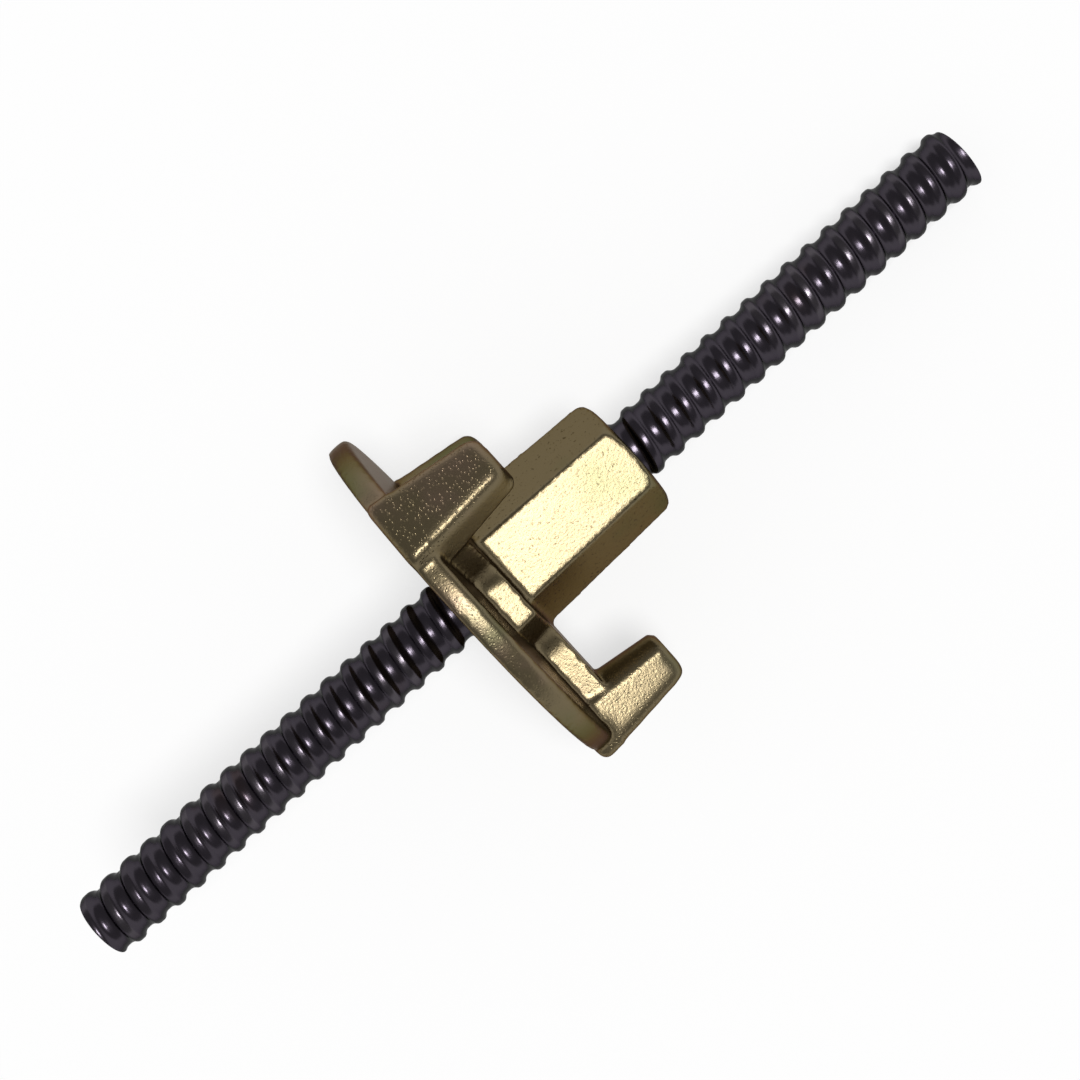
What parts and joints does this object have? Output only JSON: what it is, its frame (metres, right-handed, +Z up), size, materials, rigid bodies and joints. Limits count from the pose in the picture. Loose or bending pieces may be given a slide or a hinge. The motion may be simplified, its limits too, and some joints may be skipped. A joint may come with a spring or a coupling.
{
  "type": "formwork tie rod with anchor nut",
  "caption": "Coarse-threaded formwork tie rod lying with its cast anchor nut, which has a round bearing flange, a hexagon and hammer lugs.",
  "frame": {"origin": "on the floor, below the middle of the rod's length and the middle of the part's width", "axes": "+X is the level direction in which the rod slopes down to the end past the hexagon, +Z is up, +Y is the side of the lug nearest the floor"},
  "size_m": [0.2517, 0.0924, 0.0894],
  "materials": {
    "rod_steel": "dark rolled skin, slightly oily, bright on the crests",
    "nut_casting": "yellow-passivated zinc over a grainy cast skin"
  },
  "bodies": {
    "rod": {"tie_rod": "rod_steel"},
    "nut": {"anchor_nut": "nut_casting"}
  },
  "joints": [
    {"name": "nut_travel", "type": "slide", "parent": "rod", "child": "nut", "axis": [0.9691, 0, -0.2467], "range_m": [-0.102, 0.096]}
  ]
}
